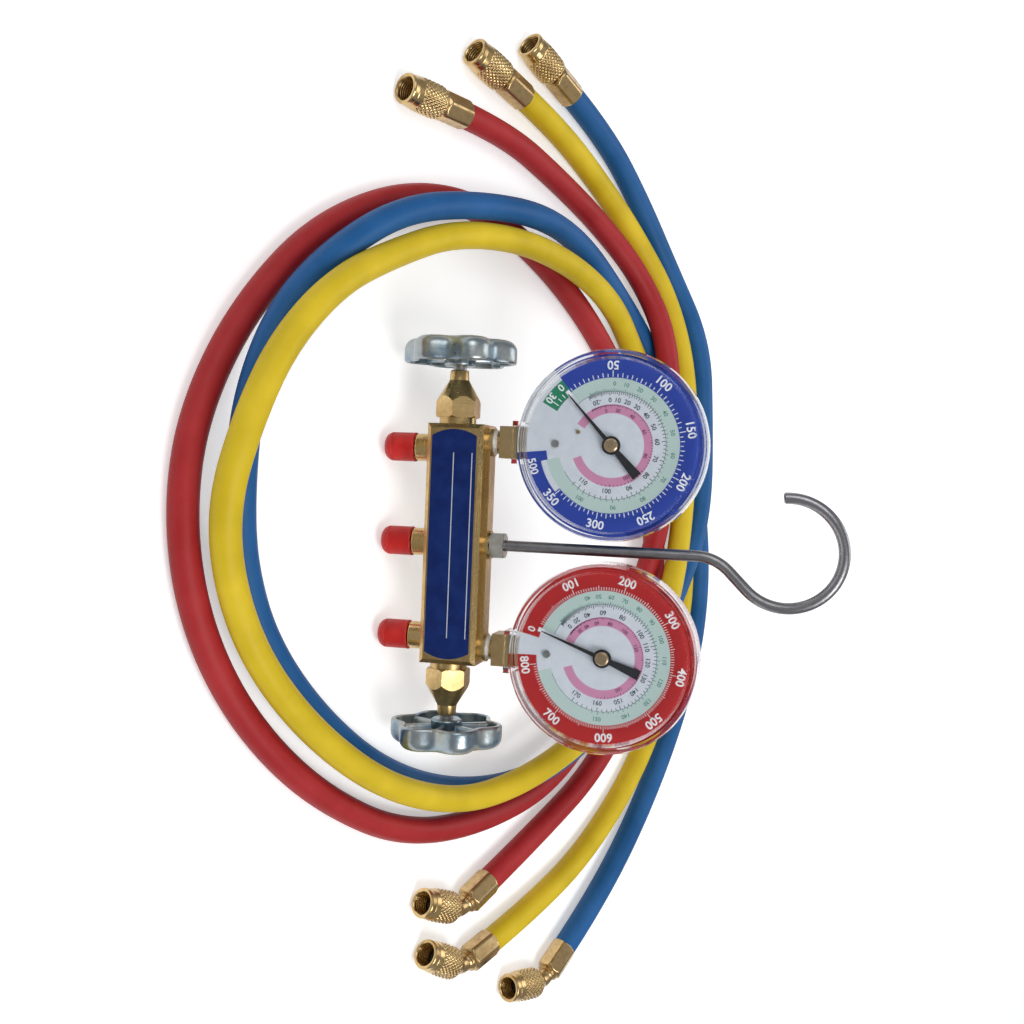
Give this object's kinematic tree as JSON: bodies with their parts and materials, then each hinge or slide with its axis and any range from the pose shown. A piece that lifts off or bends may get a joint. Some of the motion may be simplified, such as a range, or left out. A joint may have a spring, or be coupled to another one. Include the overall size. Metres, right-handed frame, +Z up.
{
  "type": "refrigerant manifold gauge",
  "caption": "Refrigerant manifold gauge set with two dial gauges, two handwheel valves, capped flare ports, a hanging hook and three coloured charging hoses.",
  "frame": {"origin": "centre of the manifold's outline on the surface that its port caps stand on", "axes": "+X to the high pressure side, +Y away from the dial faces, +Z up; the manifold leans back 28.6 degrees"},
  "size_m": [0.5025, 0.3841, 0.1854],
  "materials": {
    "body_brass": "polished",
    "label_navy": "satin",
    "brass": "machined",
    "cap_red": "satin",
    "seal_rubber": "matte",
    "stem_steel": "turned",
    "wheel_chrome": "bright",
    "screw_steel": "bright",
    "hook_steel": "satin",
    "tape_white": "matte",
    "case_blue": "gloss",
    "case_red": "gloss",
    "dial_white": "satin",
    "clear_cover": "clear",
    "pointer_black": "matte",
    "hose_red": "matte",
    "hose_yellow": "matte",
    "hose_blue": "matte"
  },
  "bodies": {
    "manifold": {"blue_bent_ferrule": "brass", "blue_depressor": "brass", "blue_hose": "hose_blue", "blue_straight_ferrule": "brass", "center_port_flare": "brass", "high_bourdon_tube": "brass", "high_dial": "dial_white", "high_gauge_case": "case_red", "high_gauge_cover": "clear_cover", "high_gauge_socket": "brass", "high_movement_plates": "brass", "high_port_flare": "brass", "high_valve_bonnet": "brass", "hook": "hook_steel", "hook_nut": "hook_steel", "label_plate": "label_navy", "low_bourdon_tube": "brass", "low_dial": "dial_white", "low_gauge_case": "case_blue", "low_gauge_cover": "clear_cover", "low_gauge_socket": "brass", "low_movement_plates": "brass", "low_port_flare": "brass", "low_valve_bonnet": "brass", "manifold_body": "body_brass", "pointer_adjusters": "screw_steel", "red_bent_ferrule": "brass", "red_depressor": "brass", "red_hose": "hose_red", "red_straight_ferrule": "brass", "stem_seals": "seal_rubber", "stop_pins": "brass", "thread_tapes": "tape_white", "yellow_bent_ferrule": "brass", "yellow_depressor": "brass", "yellow_hose": "hose_yellow", "yellow_straight_ferrule": "brass"},
    "low_stem": {"low_valve_stem": "stem_steel"},
    "low_wheel": {"low_handwheel": "wheel_chrome", "low_wheel_screw": "screw_steel"},
    "high_stem": {"high_valve_stem": "stem_steel"},
    "high_wheel": {"high_handwheel": "wheel_chrome", "high_wheel_screw": "screw_steel"},
    "low_cap": {"low_port_cap": "cap_red"},
    "center_cap": {"center_port_cap": "cap_red"},
    "high_cap": {"high_port_cap": "cap_red"},
    "low_needle": {"low_pointer": "pointer_black", "low_pointer_bush": "brass", "low_pointer_pinion": "brass"},
    "low_sector": {"low_sector_gear": "brass"},
    "high_needle": {"high_pointer": "pointer_black", "high_pointer_bush": "brass", "high_pointer_pinion": "brass"},
    "high_sector": {"high_sector_gear": "brass"},
    "red_straight_swivel": {"red_straight_nut": "brass"},
    "red_bent_swivel": {"red_bent_nut": "brass"},
    "yellow_straight_swivel": {"yellow_straight_nut": "brass"},
    "yellow_bent_swivel": {"yellow_bent_nut": "brass"},
    "blue_straight_swivel": {"blue_straight_nut": "brass"},
    "blue_bent_swivel": {"blue_bent_nut": "brass"}
  },
  "joints": [
    {"name": "low_stem_slide", "type": "slide", "parent": "manifold", "child": "low_stem", "axis": [-1, 0, 0], "range_m": [0, 0.0036]},
    {"name": "low_wheel_turn", "type": "hinge", "parent": "low_stem", "child": "low_wheel", "pos_m": [-0.0815, -0.02951, 0.0316], "axis": [-1, 0, 0], "range_deg": [0, 720]},
    {"name": "high_stem_slide", "type": "slide", "parent": "manifold", "child": "high_stem", "axis": [1, 0, 0], "range_m": [0, 0.0036]},
    {"name": "high_wheel_turn", "type": "hinge", "parent": "high_stem", "child": "high_wheel", "pos_m": [0.0815, -0.02951, 0.0316], "axis": [1, 0, 0], "range_deg": [0, 720]},
    {"name": "low_cap_pull", "type": "slide", "parent": "manifold", "child": "low_cap", "axis": [0, -0.4787, -0.878], "range_m": [0, 0.016]},
    {"name": "center_cap_pull", "type": "slide", "parent": "manifold", "child": "center_cap", "axis": [0, -0.4787, -0.878], "range_m": [0, 0.016]},
    {"name": "high_cap_pull", "type": "slide", "parent": "manifold", "child": "high_cap", "axis": [0, -0.4787, -0.878], "range_m": [0, 0.016]},
    {"name": "low_needle_turn", "type": "hinge", "parent": "manifold", "child": "low_needle", "pos_m": [-0.0465, 0.00496, 0.09481], "axis": [0, 0.878, -0.4787], "range_deg": [-13, 298], "stiffness_Nm_per_rad": 0.001},
    {"name": "low_sector_turn", "type": "hinge", "parent": "manifold", "child": "low_sector", "pos_m": [-0.0465, -0.00342, 0.07945], "axis": [0, 0.878, -0.4787], "range_deg": [-50.17, 2.67]},
    {"name": "high_needle_turn", "type": "hinge", "parent": "manifold", "child": "high_needle", "pos_m": [0.0465, 0.00496, 0.09481], "axis": [0, 0.878, -0.4787], "range_deg": [0, 331], "stiffness_Nm_per_rad": 0.001},
    {"name": "high_sector_turn", "type": "hinge", "parent": "manifold", "child": "high_sector", "pos_m": [0.0465, -0.00342, 0.07945], "axis": [0, 0.878, -0.4787], "range_deg": [-55.67, 0.5]},
    {"name": "red_straight_spin", "type": "hinge", "parent": "manifold", "child": "red_straight_swivel", "pos_m": [-0.20385, -0.02597, 0.0081], "axis": [-0.0605, -0.9982, 0], "continuous": true},
    {"name": "red_bent_spin", "type": "hinge", "parent": "manifold", "child": "red_bent_swivel", "pos_m": [0.18254, 0.00378, 0.0081], "axis": [-0.3353, -0.9421, 0], "continuous": true},
    {"name": "yellow_straight_spin", "type": "hinge", "parent": "manifold", "child": "yellow_straight_swivel", "pos_m": [-0.22743, 0.01672, 0.0081], "axis": [-0.3162, -0.9487, 0], "continuous": true},
    {"name": "yellow_bent_spin", "type": "hinge", "parent": "manifold", "child": "yellow_bent_swivel", "pos_m": [0.21127, 0.0061, 0.0081], "axis": [-0.4626, -0.8866, 0], "continuous": true},
    {"name": "blue_straight_spin", "type": "hinge", "parent": "manifold", "child": "blue_straight_swivel", "pos_m": [-0.23994, 0.05532, 0.0081], "axis": [-0.4244, -0.9055, 0], "continuous": true},
    {"name": "blue_bent_spin", "type": "hinge", "parent": "manifold", "child": "blue_bent_swivel", "pos_m": [0.23902, 0.07054, 0.0081], "axis": [-0.1419, -0.9899, 0], "continuous": true}
  ],
  "couplings": [
    {"joint": "low_stem_slide", "follows": "low_wheel_turn", "m_per_rad": 0.00027852},
    {"joint": "high_stem_slide", "follows": "high_wheel_turn", "m_per_rad": 0.00027852},
    {"joint": "low_sector_turn", "follows": "low_needle_turn", "ratio": -0.16667},
    {"joint": "high_sector_turn", "follows": "high_needle_turn", "ratio": -0.16667}
  ]
}
